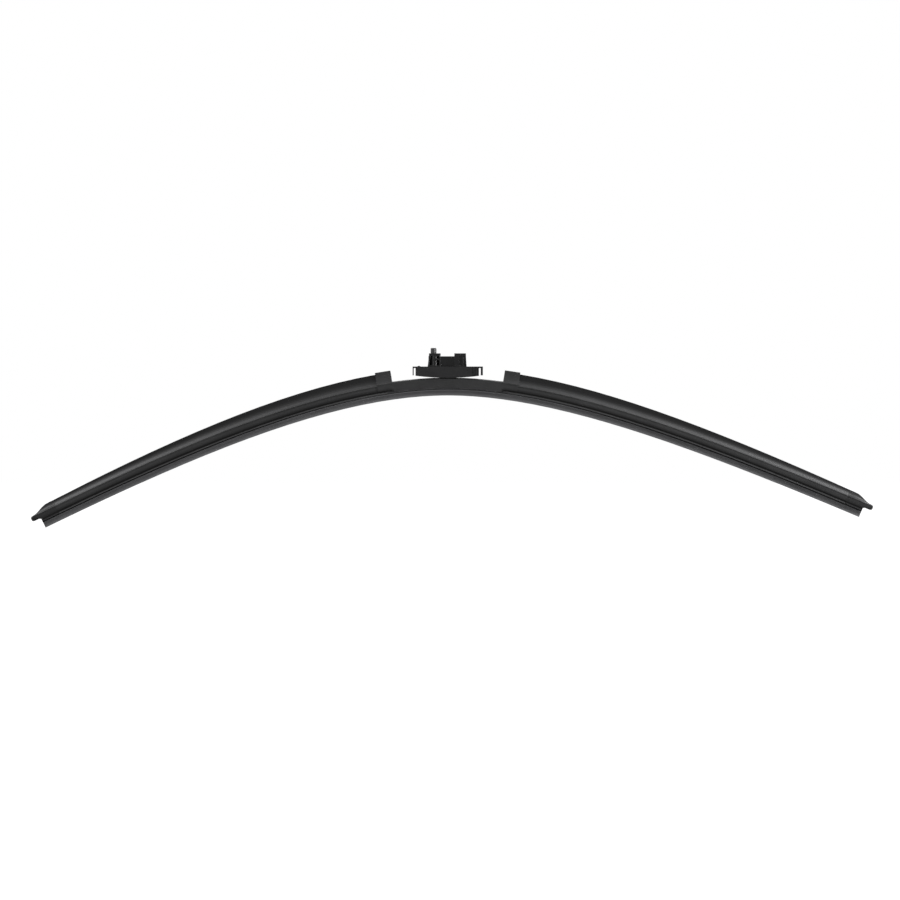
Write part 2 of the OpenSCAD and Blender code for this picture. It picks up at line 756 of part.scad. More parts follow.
// The lower edge of a cheek, from the belly up to the brow
cheek_n = 16;
function brow(x) = mix(belly_h, brow_h, pow(x / (cradle_l / 2), 2));
cheek_outline = concat([[body_right, cradle_top], [body_left, cradle_top]],
    [for (i = [0:cheek_n]) let (x = mix(body_left, body_right, i / cheek_n)) [x, brow(x)]]);

// An end bar: one leg on each cheek, joined under the top
module end_bar(x_low, x_high) {
    difference() {
        block([x_low, -cheek_out, brow_h], [x_high, cheek_out, cradle_top]);
        block([x_low - cut, -cheek_in, brow_h - cut], [x_high + cut, cheek_in, cradle_top - bar_h]);
    }
}

module adaptor_cradle() {
    color([0.19, 0.19, 0.195])
        at_seat()
            difference() {
                union() {
                    slab(-cheek_out, -cheek_in)
                        polygon(cheek_outline);
                    slab(cheek_in, cheek_out)
                        polygon(cheek_outline);
                    block([body_left, -cheek_out, deck_z], [body_right, cheek_out, cradle_top]);
                    block([body_left, -cheek_out, cradle_top - end_wall_h],
                        [body_left + end_wall_t, cheek_out, cradle_top]);
                    block([body_right - end_wall_t, -cheek_out, cradle_top - end_wall_h],
                        [body_right, cheek_out, cradle_top]);
                    end_bar(cradle_left, cradle_left + bar_left_t);
                    end_bar(cradle_right - bar_right_t, cradle_right);
                    block([cradle_left, -cheek_out / 2, cradle_top - bridge_t],
                        [body_left + end_wall_t, cheek_out / 2, cradle_top]);
                    block([body_right - end_wall_t, -cheek_out, cradle_top - bridge_t],
                        [cradle_right, cheek_out, cradle_top]);
                    slab(-cheek_out, cheek_out)
                        polygon([
                            [bump_x - bump_l / 2, cradle_top - cut],
                            [bump_x + bump_l / 2, cradle_top - cut],
                            [bump_x + bump_l / 2, cradle_top],
                            [bump_x + bump_flat / 2, cradle_top + bump_h],
                            [bump_x - bump_flat / 2, cradle_top + bump_h],
                            [bump_x - bump_l / 2, cradle_top]]);
                }
                // The pin's blind seats, and the grooves that lead it in from below
                translate([0, 0, pivot_h])
                    rotate([90, 0, 0])
                        cylinder(r = pin_r + pin_gap, h = 2 * seat_out, center = true, $fn = circle_n);
                block([-lead_w / 2, -cheek_in - lead_d, belly_h - cut],
                    [lead_w / 2, cheek_in + lead_d, pivot_h]);
                // The opening over the ears
                block([-pin_room, -ear_out - 2 * opening_gap, deck_z - cut],
                    [pin_room, ear_out + 2 * opening_gap, cradle_top + cut]);
                // The slots for the connector's hooks
                for (x = [hook_left, hook_right], y = [-1, 1])
                    block([x - slot_half, y > 0 ? slot_in : -slot_out, deck_z - cut],
                        [x + slot_half, y > 0 ? slot_out : -slot_in, cradle_top + cut]);
                // The grip grooves in the cheeks
                if (grip_n > 0)
                    for (i = [0:grip_n - 1], y = [-1, 1])
                        translate([grip_at - grip_step * i, y * cheek_out, (belly_h + cradle_top) / 2])
                            cube([grip_w, 2 * grip_d, grip_h], center = true);
            }
}

// The wall, rib and plate outlines of one block, drawn for the left block or the right
module left_block() {
    slab(-block_y, block_y)
        polygon([[-left_foot + left_lean, plate_under], [left_in, plate_under],
            [left_in, seat_h], [-left_foot + left_lean, seat_h]]);
    slab(-block_y, block_y)
        polygon([[-left_foot, cradle_top], [-left_foot + block_wall, cradle_top],
            [-left_foot + left_lean + block_wall, plate_under], [-left_foot + left_lean, plate_under]]);
    block([-left_foot, -block_y, cradle_top], [left_in, block_y, cradle_top + foot_t]);
    translate([-post_x, 0, cradle_top])
        cylinder(r = boss_r, h = plate_under - cradle_top, $fn = circle_n);
    block([-post_x - rib_t, -block_y + rib_t / 2, cradle_top], [-post_x, block_y - rib_t / 2, plate_under]);
    block([left_in - rib_t, -boss_r, cradle_top], [left_in, boss_r, middle_top]);
    // The web from the well to the inner wall, and the shelf beside it
    block([-post_x, -rib_t / 2, cradle_top], [left_in - rib_t / 2, rib_t / 2, plate_under]);
    block([-post_x, -block_y + rib_t, cradle_top + pocket_h],
        [left_in, block_y - rib_t, cradle_top + pocket_h + rib_t]);
}

module right_block() {
    slab(-block_y, block_y)
        polygon([[right_in, plate_under], [right_foot - right_lean, plate_under],
            [right_foot - right_lean, seat_h], [right_in, seat_h]]);
    slab(-block_y, block_y)
        polygon([[right_foot - block_wall, cradle_top], [right_foot, cradle_top],
            [right_foot - right_lean, plate_under], [right_foot - right_lean - block_wall, plate_under]]);
    block([right_in, -block_y, cradle_top], [right_foot, block_y, cradle_top + foot_t]);
    // The buttress, leaning back under the top plate
    slab(-block_y + rib_t, block_y - rib_t)
        polygon([[right_in, cradle_top], [right_in + buttress_l, cradle_top],
            [right_in + buttress_l, plate_under], [right_in + rib_t, plate_under],
            [right_in, plate_under - rib_t]]);
    // The wall at the back of the recess, above the deep pocket
    block([right_in, -block_y + recess_d, cradle_top + pocket_h],
        [right_foot - block_wall, block_y - recess_d, plate_under]);
    block([right_foot - block_wall - 2 * rib_t, -block_y + rib_t / 4, cradle_top],
        [right_foot - block_wall - rib_t, block_y - rib_t / 4, plate_under]);
}

// A hook that goes down through the deck and catches under it
module snap_hook() {
    block([-hook_l / 2, hook_in, hook_bottom], [hook_l / 2, block_y, cradle_top + foot_t]);
    block([-hook_l / 2, hook_in, hook_bottom],
        [hook_l / 2, block_y + hook_nose, hook_bottom + hook_nose_h]);
}

module arm_connector() {
    color([0.12, 0.12, 0.125])
        at_seat()
            difference() {
                union() {
                    left_block();
                    right_block();
                    block([left_in - rib_t, -middle_t / 2, cradle_top],
                        [right_foot - block_wall, middle_t / 2, middle_top]);
                    for (x = [hook_left, hook_right], side = [0, 180])
                        translate([x, 0, 0])
                            rotate([0, 0, side])
                                snap_hook();
                }
                // The well for the button and its spring, and the hole for the post
                translate([-post_x, 0, cradle_top - cut])
                    cylinder(r = well_r, h = plate_under - cradle_top + cut, $fn = circle_n);
                translate([-post_x, 0, plate_under - cut])
                    cylinder(r = post_r + slip_gap, h = plate_t + 2 * cut, $fn = circle_n);
            }
}

module lock_button() {
    color([0.12, 0.12, 0.125])
        at_seat()
            translate([-post_x, 0, 0])
                rotate_extrude($fn = circle_n)
                    polygon([
                        [0, collar_z - stem_l],
                        [stem_r, collar_z - stem_l],
                        [stem_r, collar_z],
                        [post_r + collar_out, collar_z],
                        [post_r + collar_out, collar_top],
                        [post_r - post_step, collar_top],
                        [post_r - post_step, seat_h],
                        [post_r, seat_h],
                        [post_r, seat_h + post_h - post_chamfer],
                        [post_r - post_chamfer, seat_h + post_h],
                        [0, seat_h + post_h]]);
}

// The wire's ring of points at a place along the coil
function coil_ring(i) =
    let (turn = 360 * i / coil_steps, rise = spring_high - spring_low - 2 * wire_r,
        z = spring_low + wire_r + rise * i / (coil_steps * spring_turns))
    [for (j = [0:wire_sides - 1]) let (a = 360 * j / wire_sides, r = coil_r + wire_r * cos(a))
        [r * cos(turn), r * sin(turn), z + wire_r * sin(a)]];

module button_spring() {
    steps = coil_steps * spring_turns;
    n = wire_sides;
    points = [for (i = [0:steps]) each coil_ring(i)];
    sides = [for (i = [0:steps - 1], j = [0:n - 1])
        [i * n + j, i * n + (j + 1) % n, (i + 1) * n + (j + 1) % n, (i + 1) * n + j]];
    color([0.65, 0.65, 0.67])
        at_seat()
            translate([-post_x, 0, 0])
                polyhedron(points, concat(sides,
                    [[for (j = [n - 1:-1:0]) j], [for (j = [0:n - 1]) steps * n + j]]), convexity = 8);
}

wiping_rubber();
spring_rail_front();
spring_rail_rear();
spoiler_left();
spoiler_right();
end_cap_left();
end_cap_right();
holder_bracket();
centre_cover();
pivot_pin();
adaptor_cradle();
arm_connector();
lock_button();
button_spring();
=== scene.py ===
# %% [markdown]
# # A flat wiper blade, dressed for its portrait
# The solids of this wiper blade come from a CAD model, and Blender's work is the looks:
# rubber that has been dusted with graphite, extruded and moulded black plastic, coated
# steel, light and a camera. The first step loads the solids. They stay where they are,
# because every dressed piece has to move with the joints of the real product: the blade
# rocks on a pin, and a round button springs in and out of the arm adaptor.

# %% Load the frame
import json
import math

import bpy
import numpy as np
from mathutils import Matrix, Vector


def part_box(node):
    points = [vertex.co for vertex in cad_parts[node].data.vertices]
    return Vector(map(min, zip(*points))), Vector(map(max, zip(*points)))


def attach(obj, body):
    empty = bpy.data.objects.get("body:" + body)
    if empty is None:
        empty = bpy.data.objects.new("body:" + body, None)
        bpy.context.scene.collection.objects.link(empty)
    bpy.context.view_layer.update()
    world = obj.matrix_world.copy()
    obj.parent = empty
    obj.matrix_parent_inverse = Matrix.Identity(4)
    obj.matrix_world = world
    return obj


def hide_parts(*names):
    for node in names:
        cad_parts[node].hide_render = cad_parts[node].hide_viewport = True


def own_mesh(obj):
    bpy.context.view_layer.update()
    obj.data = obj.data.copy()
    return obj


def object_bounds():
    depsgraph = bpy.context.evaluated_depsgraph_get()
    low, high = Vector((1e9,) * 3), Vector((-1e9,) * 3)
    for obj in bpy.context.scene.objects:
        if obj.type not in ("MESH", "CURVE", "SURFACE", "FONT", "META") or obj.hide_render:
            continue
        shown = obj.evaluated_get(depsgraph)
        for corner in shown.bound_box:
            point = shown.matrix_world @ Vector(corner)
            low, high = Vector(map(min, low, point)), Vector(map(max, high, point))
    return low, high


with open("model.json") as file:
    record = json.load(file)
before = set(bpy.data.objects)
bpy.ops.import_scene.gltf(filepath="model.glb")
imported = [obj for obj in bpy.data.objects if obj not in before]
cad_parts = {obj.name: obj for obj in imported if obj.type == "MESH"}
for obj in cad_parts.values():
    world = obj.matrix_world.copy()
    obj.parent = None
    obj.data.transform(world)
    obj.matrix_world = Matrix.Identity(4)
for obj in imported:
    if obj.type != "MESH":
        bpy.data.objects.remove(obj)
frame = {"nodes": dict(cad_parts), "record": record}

cad_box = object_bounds()
nodes = frame["nodes"]
mm = 0.001
print("pieces:", ", ".join(sorted(nodes)))
print("size in mm:", [round(n / mm, 1) for n in cad_box[1] - cad_box[0]])

# %% [markdown]
# ## Where a point sits on the blade
# A wiper blade is an arch, so "along the blade" isn't a straight line. Streaks of the
# extrusion die follow the arch, and graphite stays on the lip below a certain height.
# A shader can't find that by itself. The wiping edge is the lowest line of the rubber, so
# its vertices give the arch, and each vertex of the other pieces is measured against it.

# %% The wiping edge as a line
EDGE_HALF = 0.35 * mm  # half the thickness of the wiping edge
CLOSE = 0.01 * mm


def corners(piece):
    """The vertices of a piece as rows of x, y, z."""
    flat = np.zeros(len(piece.data.vertices) * 3)
    piece.data.vertices.foreach_get("co", flat)
    return flat.reshape(-1, 3)


def wiping_line():
    """Distance along the edge, x, z and slope, from the left end to the right."""
    points = corners(nodes["wiping_rubber"])
    edge = points[abs(abs(points[:, 1]) - EDGE_HALF) < CLOSE]
    edge = edge[np.argsort(edge[:, 0])]
    step = np.r_[True, np.diff(edge[:, 0]) > CLOSE]
    x, z = edge[step, 0], edge[step, 2]
    along = np.r_[0, np.cumsum(np.hypot(np.diff(x), np.diff(z)))]
    middle = np.interp(0, x, along)
    return along - middle, x, z, np.arctan(np.gradient(z, x))


line_along, line_x, line_z, line_tilt = wiping_line()
print("stations on the wiping edge:", len(line_x))
print("length along the edge in mm:", round((line_along[-1] - line_along[0]) / mm, 1))

# %% [markdown]
# A point above the edge leans outwards with the arch, so its foot on the edge is found in
# a few rounds: guess the foot, see how far the point leans from there, and guess again.
# The two distances are stored on the vertices as attributes, which a shader can read.

# %% Measure each piece against the edge
BLADE = [
    "wiping_rubber", "spring_rail_front", "spring_rail_rear", "spoiler_left", "spoiler_right",
    "end_cap_left", "end_cap_right", "holder_bracket", "centre_cover",
]
ROUNDS = 6


def add_numbers(piece, name, values):
    """Stores one number for each vertex under a name."""
    layer = piece.data.attributes.new(name, "FLOAT", "POINT")
    layer.data.foreach_set("value", values.astype(np.float32))


def measure(piece):
    """Writes how far along the blade and how high above its edge each vertex is."""
    x, _, z = corners(piece).T
    foot = x.copy()
    for _ in range(ROUNDS):
        tilt = np.interp(foot, line_x, line_tilt)
        height = (z - np.interp(foot, line_x, line_z)) / np.cos(tilt)
        foot = x + height * np.sin(tilt)
    add_numbers(piece, "along", np.interp(foot, line_x, line_along))
    add_numbers(piece, "height", height)
    return height


for name in BLADE:
    height = measure(nodes[name])
    print(name, "is", round(height.min() / mm, 1), "to", round(height.max() / mm, 1), "mm high")

# %% [markdown]
# ## Shader maths as plain Python
# A material is a graph of nodes. Wiring maths nodes by hand hides the idea behind the
# wires, so one small class stands for an output socket, and its operators add the maths
# nodes. With the reflected operators, `1 - mask` works as well as `mask * 2`. Two more
# methods make the masks that wear and dust need: a rise from 0 to 1, and a soft band.

# %% A socket that can be used in sums


def plug(tree, socket, value):
    """Links a signal to a socket, or sets the socket to a plain value."""
    if isinstance(value, Signal):
        tree.links.new(value.socket, socket)
    else:
        socket.default_value = value


class Signal:
    """An output socket of a shader graph that can be added, subtracted and multiplied."""

    def __init__(self, tree, socket):
        self.tree = tree
        self.socket = socket

    def maths(self, operation, first, second=0.0, clamp=False):
        node = self.tree.nodes.new("ShaderNodeMath")
        node.operation = operation
        node.use_clamp = clamp
        plug(self.tree, node.inputs[0], first)
        plug(self.tree, node.inputs[1], second)
        return Signal(self.tree, node.outputs[0])

    def __add__(self, other):
        return self.maths("ADD", self, other)

    def __sub__(self, other):
        return self.maths("SUBTRACT", self, other)

    def __rsub__(self, other):
        return self.maths("SUBTRACT", other, self)

    def __mul__(self, other):
        return self.maths("MULTIPLY", self, other)

    def __abs__(self):
        return self.maths("ABSOLUTE", self)

    __radd__ = __add__
    __rmul__ = __mul__

    def between(self, low, high):
        """0 below low, 1 above high, and a straight rise from one to the other."""
        return self.maths("MULTIPLY", self - low, 1 / (high - low), clamp=True)

    def band(self, rise, fall):
        """1 between a rise and a fall, each given by its two ends, and 0 outside them."""
        return self.between(*rise) * (1 - self.between(*fall))


print("signals can be added, subtracted, multiplied and turned into masks")

# %% [markdown]
# Every other node comes from one method of a graph: the node's type, then its settings,
# then what goes into its sockets. A finish is the graph of one material. It also holds the
# few things that all the materials here use, such as a place on the object in millimetres,
# which keeps the sizes of grain and scratches readable.

# %% Graphs and finishes


class Graph:
    """A shader graph that grows one node at a time."""

    def __init__(self, tree):
        self.tree = tree

    def node(self, kind, settings=None, sockets=None, output=0):
        """A node of a type, with its settings and what its sockets hold. Gives one output."""
        made = self.tree.nodes.new("ShaderNode" + kind)
        for key, value in (settings or {}).items():
            setattr(made, key, value)
        for key, value in (sockets or {}).items():
            plug(self.tree, made.inputs[key], value)
        return Signal(self.tree, made.outputs[output])


class Finish(Graph):
    """A material that is built around one Principled shader."""

    def __init__(self, name, **constants):
        self.material = bpy.data.materials.new(name)
        self.material.use_nodes = True
        super().__init__(self.material.node_tree)
        self.shader = self.tree.nodes["Principled BSDF"]
        self.feed(**constants)

    def feed(self, **values):
        """Values or signals for the shader's own sockets."""
        for socket, value in values.items():
            plug(self.tree, self.shader.inputs[socket.replace("_", " ")], value)

    def place(self):
        """Where the point is on the object at rest, in millimetres."""
        here = self.node("TexCoord", output="Object")
        return self.node("VectorMath", {"operation": "SCALE"}, {"Vector": here, "Scale": 1 / mm})

    def stored(self, name):
        """A number that was stored on the vertices, from metres to millimetres."""
        return self.node("Attribute", {"attribute_name": name}, output="Fac") * (1 / mm)

    def noise(self, at, size, detail=2.0, roughness=0.5):
        """Cloudy noise, with clouds of about a size in millimetres."""
        return self.node(
            "TexNoise", {"noise_dimensions": "3D"},
            {"Vector": at, "Scale": 1 / size, "Detail": detail, "Roughness": roughness})

    def stretch(self, x, y, z):
        return self.node("CombineXYZ", {}, {"X": x, "Y": y, "Z": z})

    def colour(self, mask, low, high):
        """One colour where the mask is 0, another where it is 1."""
        low, high = (c if isinstance(c, Signal) else (*c, 1.0) for c in (low, high))
        return self.node("Mix", {"data_type": "RGBA"}, {0: mask, 6: low, 7: high}, output=2)


print("a finish starts from one Principled shader")

# %% [markdown]
# ## Edges and grain
# No moulding has a knife edge: where two faces meet, a radius of a tenth of a millimetre or two
# catches the light. Rounding thousands of CAD edges in the mesh would be slow and could tear it.
# Blender's Bevel node rounds only the shading, and the Bump node puts the fine grain of the mould
# on top of it. Where the rounded normal turns away from the flat one there is an edge, and that
# is where hands and tools rub a part grey first, so the same node also gives the mask for worn
# edges. On the moulded plastics that mask also paints a highlight along the edges.

# %% Rounded edges with grain on top
EDGE_ROUND = 0.18 * mm
BEVEL_SAMPLES = 6
EDGE_TURN = (0.01, 0.12)  # one minus the cosine of the turn: where wear starts and is full


def relief(finish, height, depth, radius=EDGE_ROUND):
    """Rounded edges under a relief of a depth in metres. Returns a mask of the edges."""
    soft = finish.node("Bevel", {"samples": BEVEL_SAMPLES}, {"Radius": radius})
    bump = finish.node(
        "Bump", {}, {"Height": height, "Strength": 1.0, "Distance": depth, "Normal": soft})
    finish.feed(Normal=bump)
    flat = finish.node("NewGeometry", output="Normal")
    alike = finish.node(
        "VectorMath", {"operation": "DOT_PRODUCT"}, {0: soft, 1: flat}, output="Value")
    return (1 - alike).between(*EDGE_TURN)


print("edges look rounded by", round(EDGE_ROUND / mm, 2), "mm")

# %% [markdown]
# Between the bead that holds the rubber and the skirt above it runs a narrow channel. It gets a
# painted shade: a deep, dull black on the spoilers, the caps and the cover alike, which fades out
# up the side. The height above the wiping edge says where the channel is. In the middle of the
# cover the side is plain, so the mask ends there.

# %% Painted shade in the channel above the bead
# the black of the painted shade in the channel
CHANNEL_SHADE_BLACK = (0.003, 0.003, 0.003)
CHANNEL = ((6.2, 6.5), (7.0, 9.4))  # heights in millimetres: the rise and the fall of the mask
CHANNEL_START = (40.0, 42.0)  # millimetres from the middle, under the hoods


def channel(finish):
    """Painted shade: 1 inside the channel, 0 above and below it and at the cover's plain sides.
    """
    clear = abs(finish.stored("along")).between(*CHANNEL_START)
    return finish.stored("height").band(*CHANNEL) * clear


print("the channel reaches from", CHANNEL[0][0], "to", CHANNEL[1][1], "mm above the edge")

# %% [markdown]
# ## Moulded black plastic
# The cover, the caps, the cradle, the connector and the button are glass-filled nylon or acetal.
# Their moulds are spark-eroded, which leaves a matt, pebbly skin, and the flow of the melt leaves
# patches that are a little glossier than others. One function makes all five, and gives each its
# own grain, gloss and depth of black. A shade is mixed from the plain black and two paler ones:
# one for dust and specks of glass, and one along the edges that is partly rubbed wear and partly
# a painted highlight.

# %% Moulded plastic
PLAIN_IOR = 1.5  # of plastic, rubber and the coat on steel alike
MATT = 0.12  # specular level of a matt skin
MEAN = 0.5  # what noise gives on average
FLOW_SIZE, FLOW = 9.0, (0.35, 0.70)  # millimetres, and the noise levels where the mask rises
SPECK_SIZE, SPECKS = 0.5, (0.62, 0.70)
SCUFF_SIZE, SCUFFS = 2.2, (0.45, 0.70)
# the paler shade along the edges is partly rubbed wear and partly a painted highlight
DUSTY_TIMES, RUBBED_AND_HIGHLIT_TIMES = 1.5, 2.0  # how many times paler than the black, before dust and wear
DUST_PLAIN, DUST_FLOW, DUST_SPECKS, DUST_PEBBLES = 0.2, 0.3, 0.3, 1.2  # shares of the dusty shade
RUBBED_AND_HIGHLIT_PLAIN, RUBBED_AND_HIGHLIT_SCUFFS = 0.35, 0.65  # shares of the rubbed shade along an edge
ROUGH_FLOW, ROUGH_PEBBLES = 0.10, 0.16
# how much of the painted channel shade the moulded pieces on the blade get
CHANNEL_SHADE_SHARE = 0.8


def moulded(
        name, black, rough, grain, depth,
        shine=MATT, dust=0.012, on_blade=False, edge=EDGE_ROUND, wear_and_highlight=0.03):
    """Black moulded plastic with a pebbled skin of a grain size in millimetres."""
    finish = Finish(name, IOR=PLAIN_IOR, Specular_IOR_Level=shine)
    here = finish.place()
    pebbles = finish.noise(here, grain, detail=3.0, roughness=0.6)
    flow = finish.noise(here, FLOW_SIZE).between(*FLOW)
    specks = finish.noise(here, SPECK_SIZE, roughness=0.7).between(*SPECKS)
    scuffs = finish.noise(here, SCUFF_SIZE, detail=4.0, roughness=0.7).between(*SCUFFS)
    edges = relief(finish, pebbles, depth, edge)
    dusty = tuple(c * DUSTY_TIMES + dust for c in black)
    rubbed_and_highlit = tuple(c * RUBBED_AND_HIGHLIT_TIMES + wear_and_highlight for c in black)
    shade = finish.colour(
        DUST_PLAIN + flow * DUST_FLOW + specks * DUST_SPECKS + (pebbles - MEAN) * DUST_PEBBLES,
        black, dusty)
    # paler along the edges: partly rubbed wear, partly a painted highlight
    shade = finish.colour(edges * (RUBBED_AND_HIGHLIT_PLAIN + scuffs * RUBBED_AND_HIGHLIT_SCUFFS), shade, rubbed_and_highlit)
    # on the blade, the channel gets its painted shade
    if on_blade:
        shade = finish.colour(channel(finish) * CHANNEL_SHADE_SHARE, shade, CHANNEL_SHADE_BLACK)
    finish.feed(
        Base_Color=shade,
        Roughness=rough + (flow - MEAN) * ROUGH_FLOW + (pebbles - MEAN) * ROUGH_PEBBLES)
    return finish.material


cover_plastic = moulded(
    "cover plastic", black=(0.026, 0.026, 0.0265), rough=0.46, grain=0.22, depth=0.035 * mm,
    on_blade=True)
cap_plastic = moulded(
    "cap plastic", black=(0.019, 0.019, 0.0195), rough=0.44, grain=0.25, depth=0.030 * mm,
    on_blade=True)
cradle_plastic = moulded(
    "cradle plastic", black=(0.014, 0.014, 0.0145), rough=0.50, grain=0.30, depth=0.050 * mm)
# the connector's broad, pale edges are partly wear and partly a painted highlight
connector_plastic = moulded(
    "connector plastic", black=(0.004, 0.004, 0.0045), rough=0.26, grain=0.35,
    depth=0.020 * mm, shine=0.20, dust=0.003, edge=0.4 * mm, wear_and_highlight=0.08)
button_plastic = moulded(
    "button plastic", black=(0.006, 0.006, 0.0065), rough=0.26, grain=0.40,
    depth=0.008 * mm, shine=0.6, dust=0.003)
print("moulded finishes: cover, cap, cradle, connector, button")

# %% [markdown]
# ## Marks that run along the blade
# The spoilers and the rubber come out of a die as an endless profile and are cut to
# length. Any nick in the die draws a line that runs the whole blade, so its marks are very
# long and very narrow. Noise does that if its coordinates are squeezed along the blade: a
# millimetre of height counts well over a hundred times as much as a millimetre of length.

# %% Drawn-out noise, depth and front
DRAWN = 0.006
TO_FRONT = (0.0, 0.2)  # how much a face has to look to the front


def drawn(finish, across, size, detail=2.0, roughness=0.5):
    """Noise that is drawn out along the blade, with lines of a width in millimetres."""
    at = finish.stretch(finish.stored("along") * DRAWN, finish.stored("height"), across)
    return finish.noise(at, size, detail, roughness)


def depth_of(finish):
    """How far a point is behind the middle of the blade, in millimetres."""
    return finish.node("SeparateXYZ", {}, {"Vector": finish.place()}, output="Y")


def front_of(finish):
    """1 on faces that look to the front of the blade, 0 on the others."""
    flat = finish.node("NewGeometry", output="Normal")
    return (0 - finish.node("SeparateXYZ", {}, {"Vector": flat}, output="Y")).between(*TO_FRONT)


print("die lines are drawn out", round(1 / DRAWN), "times along the blade")

# %% [markdown]
# ## The extruded spoiler
# The crest of the spoiler gets a painted shade, a blacker colour than the rest. The lower bend of
# the hollow in front gets a painted highlight, a greyer colour on its front faces, most of all
# towards the ends, and the ridge under the channel gets a paler painted highlight. A painted
# texture could show this, but it would have to be drawn for one length of blade. Heights above
# the edge mask all three instead, and they stay right however long the blade is.

# %% Extruded plastic
DRAWN_BLACK, DRAWN_GREY = (0.026, 0.026, 0.0265), (0.070, 0.070, 0.071)
# painted shade: the crest is made darker than the rest of the spoiler
CREST_SHADE_BLACK = (0.007, 0.007, 0.0072)
# painted highlight on the front of the lower bend of the hollow
BEND_HIGHLIGHT_GREY = (0.085, 0.085, 0.087)
# the ridge mask paints a highlight on the ridge under the channel
RIDGE_HIGHLIGHT = ((5.2, 5.6), (6.2, 6.5))  # heights in millimetres: the rise and the fall of each mask
BEND_HIGHLIGHT = ((11.4, 12.4), (13.4, 15.5))
CREST_SHADE = (13.6, 16.6)
SPOILER_ENDS = (40.0, 260.0)  # millimetres from the middle
LINE_SIZE, STRIPE_SIZE, SKIN_SIZE, CLOUD_SIZE = 0.22, 1.6, 0.16, 26.0
STRIPES, CLOUDS = (0.35, 0.70), (0.40, 0.70)
GREY_STRIPES, GREY_CLOUDS, GREY_RIDGE_HIGHLIGHT = 0.3, 0.2, 0.5  # shares of the grey
BEND_HIGHLIGHT_PLAIN, BEND_HIGHLIGHT_ENDS, CREST_SHADE_SHARE = 0.25, 0.45, 0.85
DRAWN_ROUGH, ROUGH_STRIPES, ROUGH_CLOUDS, ROUGH_LINES = 0.40, 0.07, 0.05, 0.12
LINE_RELIEF, SKIN_RELIEF, DRAWN_DEPTH, DRAWN_EDGE = 0.8, 0.4, 0.022 * mm, 0.12 * mm


def extruded(name):
    """Black plastic out of a die, with a painted shade on the crest and painted highlights on the
    bend and the ridge.
    """
    finish = Finish(name, IOR=PLAIN_IOR, Specular_IOR_Level=MATT)
    across = depth_of(finish)
    lines = drawn(finish, across, LINE_SIZE, detail=3.0, roughness=0.6)
    stripes = drawn(finish, across, STRIPE_SIZE).between(*STRIPES)
    skin = finish.noise(finish.place(), SKIN_SIZE)
    clouds = finish.noise(finish.place(), CLOUD_SIZE, detail=3.0).between(*CLOUDS)
    height = finish.stored("height")
    ends = abs(finish.stored("along")).between(*SPOILER_ENDS)
    # stripes and clouds are the plastic's own tone; the ridge's share is a painted highlight
    tone_and_ridge_highlight = stripes * GREY_STRIPES + clouds * GREY_CLOUDS + height.band(*RIDGE_HIGHLIGHT) * GREY_RIDGE_HIGHLIGHT
    # painted highlight on the front faces of the lower bend, stronger towards the ends
    bend_highlight = height.band(*BEND_HIGHLIGHT) * front_of(finish)
    shade = finish.colour(tone_and_ridge_highlight, DRAWN_BLACK, DRAWN_GREY)
    shade = finish.colour(bend_highlight * (BEND_HIGHLIGHT_PLAIN + ends * BEND_HIGHLIGHT_ENDS), shade, BEND_HIGHLIGHT_GREY)
    # painted shade on the crest
    shade = finish.colour(height.between(*CREST_SHADE) * CREST_SHADE_SHARE, shade, CREST_SHADE_BLACK)
    # the channel gets its painted shade last
    finish.feed(
        Base_Color=finish.colour(channel(finish), shade, CHANNEL_SHADE_BLACK),
        Roughness=DRAWN_ROUGH + stripes * ROUGH_STRIPES + clouds * ROUGH_CLOUDS
        + (lines - MEAN) * ROUGH_LINES)
    relief(finish, lines * LINE_RELIEF + skin * SKIN_RELIEF, DRAWN_DEPTH, DRAWN_EDGE)
    return finish.material


spoiler_plastic = extruded("spoiler plastic")
print("the crest turns black from", CREST_SHADE[0], "mm above the edge")

# %% [markdown]
# ## The wiping rubber
# The rubber is extruded too, then cut along its edge and dusted with graphite so that it slides
# on dry glass. The graphite makes the lip a dull grey with a fine speckle, while the flange above
# it stays black. The height above the edge is the mask between them. The grey is strongest at the
# very edge. Near the middle of the blade the neck is also made paler, a painted light where the
# flange shades it.

# %% Rubber with graphite
RUBBER_BLACK, GRAPHITE_GREY = (0.015, 0.015, 0.016), (0.15, 0.15, 0.155)
RUBBER_SHINE = 0.15
LIP_TOP, LIP_BLUR = 5.3, 0.2  # millimetres above the wiping edge
LIP_DROP = 0.8  # how much lower the grey stops towards the ends
# the second pair of heights marks the neck, which gets a painted light where the flange shades it
EDGE_GREY, NECK_LIGHT = (0.6, 2.4), (3.6, 4.2)  # heights of the two masks
RUBBER_ENDS = (60.0, 180.0)  # millimetres from the middle
DIE_SIZE, POWDER_SIZE, PATCH_SIZE, PATCH_STRETCH = 0.3, 0.35, 2.4, 0.1
PATCHES = (0.30, 0.70)
COVER_PLAIN, COVER_PATCHES, COVER_EDGE, NECK_LIGHT_SHARE = 0.38, 0.16, 0.46, 0.40
POWDER_PLAIN, POWDER_SHARE = 0.7, 0.6
RUBBER_ROUGH, ROUGH_LIP, ROUGH_POWDER = 0.62, 0.06, 0.2
DIE_RELIEF, POWDER_RELIEF, RUBBER_DEPTH, RUBBER_EDGE = 0.6, 0.5, 0.030 * mm, 0.08 * mm


